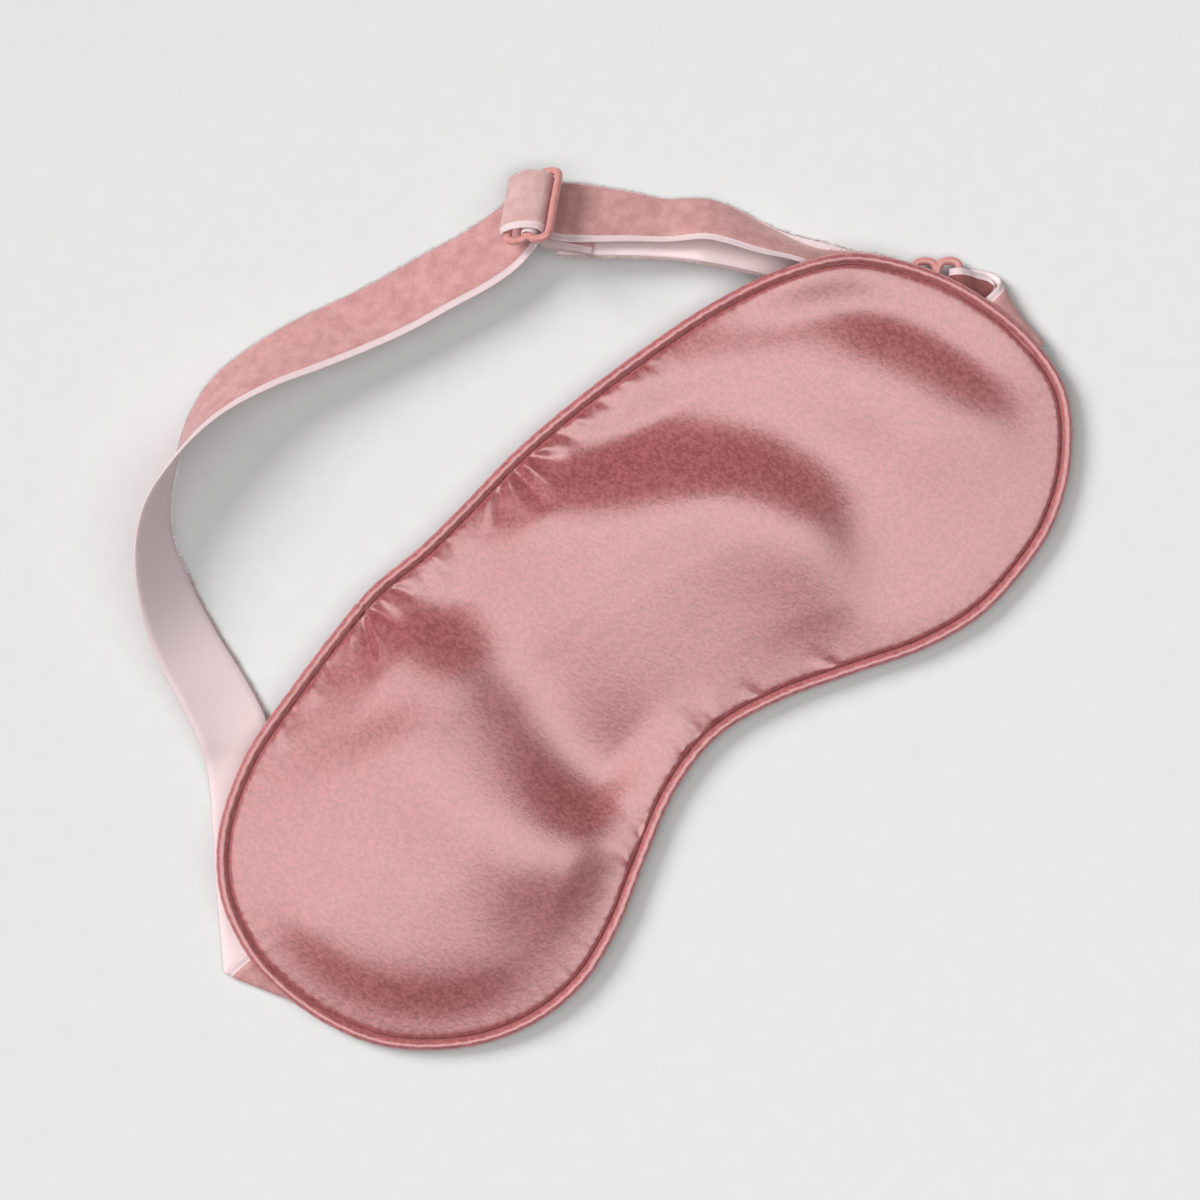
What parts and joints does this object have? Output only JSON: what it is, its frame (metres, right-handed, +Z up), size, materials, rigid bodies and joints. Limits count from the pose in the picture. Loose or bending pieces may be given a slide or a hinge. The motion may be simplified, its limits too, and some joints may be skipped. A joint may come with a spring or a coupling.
{
  "type": "sleep eye mask",
  "caption": "Padded satin sleep eye mask with piped edge, folding at the bridge, on an adjustable velvet elastic headband with a sliding buckle and a connecting buckle.",
  "frame": {"origin": "In the flat back of the mask, close to the middle of the bridge; z = 0 is the surface the mask lies on.", "axes": "+X along the mask towards the buckled end, +Y towards the brow, +Z up out of the front panel."},
  "size_m": [0.2325, 0.1549, 0.0167],
  "materials": {
    "satin": "lustrous satin",
    "satin_piping": "bias-cut satin over cord",
    "velvet_band": "velvet elastic, pale woven back",
    "lining": "blackout lining cloth",
    "wadding": "polyester wadding",
    "cord": "cotton piping cord",
    "buckle_plastic": "glossy moulded",
    "thread": "polyester sewing thread"
  },
  "bodies": {
    "right_half": {"front_panel_right": "satin", "back_panel_right": "satin", "blackout_lining_right": "lining", "wadding_right": "wadding", "piping_cover_right": "satin_piping", "piping_cord_right": "cord", "strap_right": "velvet_band", "strap_return": "velvet_band", "short_loop": "velvet_band"},
    "left_half": {"front_panel_left": "satin", "back_panel_left": "satin", "blackout_lining_left": "lining", "wadding_left": "wadding", "piping_cover_left": "satin_piping", "piping_cord_left": "cord", "strap_left": "velvet_band"},
    "slider": {"slider": "buckle_plastic", "strap_hump": "velvet_band", "strap_tab": "velvet_band", "tab_stitches": "thread"},
    "connector": {"connector": "buckle_plastic"}
  },
  "joints": [
    {"name": "bridge_fold", "type": "hinge", "parent": "right_half", "child": "left_half", "pos_m": [-0.002, 0, 0.014], "axis": [0, 1, 0], "range_deg": [0, 150]},
    {"name": "slider_slide", "type": "slide", "parent": "right_half", "child": "slider", "axis": [0.6252, -0.7804, 0], "range_m": [0, 0.018]},
    {"name": "connector_pivot", "type": "hinge", "parent": "right_half", "child": "connector", "pos_m": [0.09598, 0.01427, 0.00215], "axis": [-0.66, -0.7513, 0], "range_deg": [0, 5]}
  ]
}
